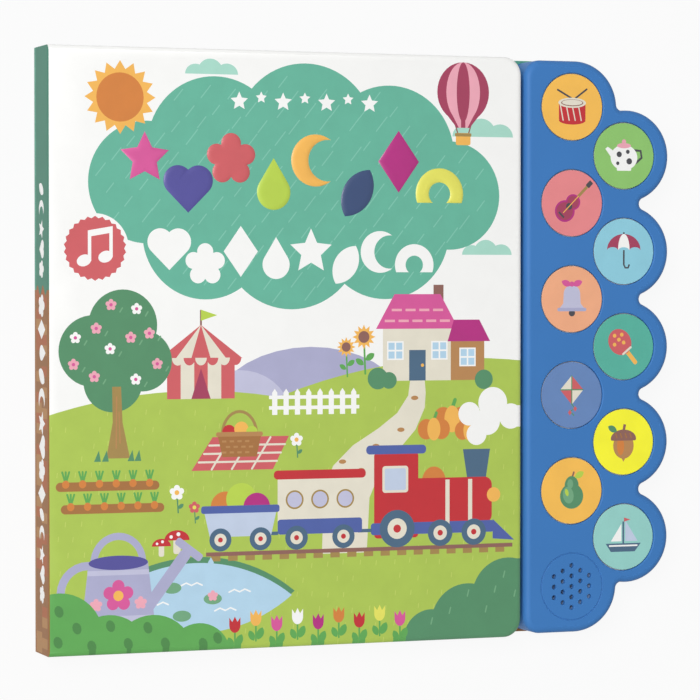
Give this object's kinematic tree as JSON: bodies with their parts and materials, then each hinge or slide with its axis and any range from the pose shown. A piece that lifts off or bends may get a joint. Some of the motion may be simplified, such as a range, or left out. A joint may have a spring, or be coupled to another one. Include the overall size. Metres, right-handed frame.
{
  "type": "sound book",
  "caption": "Children's card sound book with a scalloped blue sound module of round push buttons and a speaker beside a hinged front cover.",
  "frame": {"origin": "centre of the bounding box's footprint, on the face of the back cover that the book lies on", "axes": "+X from the spine to the sound module, +Y up the page, +Z out of the front cover"},
  "size_m": [0.2894, 0.256, 0.0225],
  "materials": {
    "cover_board": "white board with glossy film",
    "spine_board": "printed board with glossy film",
    "page_card": "cut edges of thick white card",
    "back_board": "printed board with glossy film",
    "print_teal": "glossy print",
    "print_light_green": "glossy print",
    "print_dark_green": "glossy print",
    "print_light_blue": "glossy print",
    "print_red": "glossy print",
    "print_pink": "padded glossy print",
    "print_brown": "glossy print",
    "blue_plastic": "satin moulded",
    "dark_blue_plastic": "satin moulded",
    "circuit_board": "solder mask",
    "black_resin": "cast resin",
    "zinc_steel": "zinc plated",
    "cone_film": "formed film",
    "ferrite": "magnet",
    "red_wire": "insulated wire",
    "black_wire": "insulated wire",
    "cell_steel": "nickel plated",
    "contact_brass": "plated spring sheet",
    "button_plastic": "moulded",
    "dome_rubber": "silicone rubber",
    "label_amber": "glossy printed disc",
    "label_green": "glossy printed disc",
    "label_rose": "glossy printed disc",
    "label_sky": "glossy printed disc",
    "label_peach": "glossy printed disc",
    "label_jade": "glossy printed disc",
    "label_denim": "glossy printed disc",
    "label_yellow": "glossy printed disc",
    "label_gold": "glossy printed disc",
    "label_mint": "glossy printed disc"
  },
  "bodies": {
    "book": {"spine": "spine_board", "page_block": "page_card", "back_cover": "back_board", "print_spine_waves": "print_brown", "module_housing": "blue_plastic", "module_base": "dark_blue_plastic", "circuit_board": "circuit_board", "sound_chip": "black_resin", "speaker_frame": "zinc_steel", "speaker_cone": "cone_film", "speaker_magnet": "ferrite", "speaker_wire_1": "red_wire", "speaker_wire_2": "black_wire", "button_cell_1": "cell_steel", "button_cell_2": "cell_steel", "button_cell_3": "cell_steel", "contact_positive": "contact_brass", "contact_bridge_lower": "contact_brass", "contact_bridge_upper": "contact_brass", "contact_negative": "contact_brass", "battery_door": "dark_blue_plastic", "battery_door_screw": "zinc_steel", "housing_screws": "zinc_steel", "dome_01": "dome_rubber", "dome_02": "dome_rubber", "dome_03": "dome_rubber", "dome_04": "dome_rubber", "dome_05": "dome_rubber", "dome_06": "dome_rubber", "dome_07": "dome_rubber", "dome_08": "dome_rubber", "dome_09": "dome_rubber", "dome_10": "dome_rubber"},
    "front_cover": {"front_cover": "cover_board", "print_panel": "print_teal", "print_meadow": "print_light_green", "print_trees": "print_dark_green", "print_pond": "print_light_blue", "print_train": "print_red", "padded_shapes": "print_pink"},
    "button_01": {"button_01": "button_plastic", "button_label_01": "label_amber"},
    "button_02": {"button_02": "button_plastic", "button_label_02": "label_green"},
    "button_03": {"button_03": "button_plastic", "button_label_03": "label_rose"},
    "button_04": {"button_04": "button_plastic", "button_label_04": "label_sky"},
    "button_05": {"button_05": "button_plastic", "button_label_05": "label_peach"},
    "button_06": {"button_06": "button_plastic", "button_label_06": "label_jade"},
    "button_07": {"button_07": "button_plastic", "button_label_07": "label_denim"},
    "button_08": {"button_08": "button_plastic", "button_label_08": "label_yellow"},
    "button_09": {"button_09": "button_plastic", "button_label_09": "label_gold"},
    "button_10": {"button_10": "button_plastic", "button_label_10": "label_mint"}
  },
  "joints": [
    {"name": "front_cover_hinge", "type": "hinge", "parent": "book", "child": "front_cover", "pos_m": [-0.14467, 0, 0.022], "axis": [0, -1, 0], "range_deg": [0, 180]},
    {"name": "button_01_press", "type": "slide", "parent": "book", "child": "button_01", "axis": [0, 0, -1], "range_m": [0, 0.0012], "stiffness_N_per_m": 800, "springref_m": -0.0003, "deforming": ["dome_01"]},
    {"name": "button_02_press", "type": "slide", "parent": "book", "child": "button_02", "axis": [0, 0, -1], "range_m": [0, 0.0012], "stiffness_N_per_m": 800, "springref_m": -0.0003, "deforming": ["dome_02"]},
    {"name": "button_03_press", "type": "slide", "parent": "book", "child": "button_03", "axis": [0, 0, -1], "range_m": [0, 0.0012], "stiffness_N_per_m": 800, "springref_m": -0.0003, "deforming": ["dome_03"]},
    {"name": "button_04_press", "type": "slide", "parent": "book", "child": "button_04", "axis": [0, 0, -1], "range_m": [0, 0.0012], "stiffness_N_per_m": 800, "springref_m": -0.0003, "deforming": ["dome_04"]},
    {"name": "button_05_press", "type": "slide", "parent": "book", "child": "button_05", "axis": [0, 0, -1], "range_m": [0, 0.0012], "stiffness_N_per_m": 800, "springref_m": -0.0003, "deforming": ["dome_05"]},
    {"name": "button_06_press", "type": "slide", "parent": "book", "child": "button_06", "axis": [0, 0, -1], "range_m": [0, 0.0012], "stiffness_N_per_m": 800, "springref_m": -0.0003, "deforming": ["dome_06"]},
    {"name": "button_07_press", "type": "slide", "parent": "book", "child": "button_07", "axis": [0, 0, -1], "range_m": [0, 0.0012], "stiffness_N_per_m": 800, "springref_m": -0.0003, "deforming": ["dome_07"]},
    {"name": "button_08_press", "type": "slide", "parent": "book", "child": "button_08", "axis": [0, 0, -1], "range_m": [0, 0.0012], "stiffness_N_per_m": 800, "springref_m": -0.0003, "deforming": ["dome_08"]},
    {"name": "button_09_press", "type": "slide", "parent": "book", "child": "button_09", "axis": [0, 0, -1], "range_m": [0, 0.0012], "stiffness_N_per_m": 800, "springref_m": -0.0003, "deforming": ["dome_09"]},
    {"name": "button_10_press", "type": "slide", "parent": "book", "child": "button_10", "axis": [0, 0, -1], "range_m": [0, 0.0012], "stiffness_N_per_m": 800, "springref_m": -0.0003, "deforming": ["dome_10"]}
  ]
}
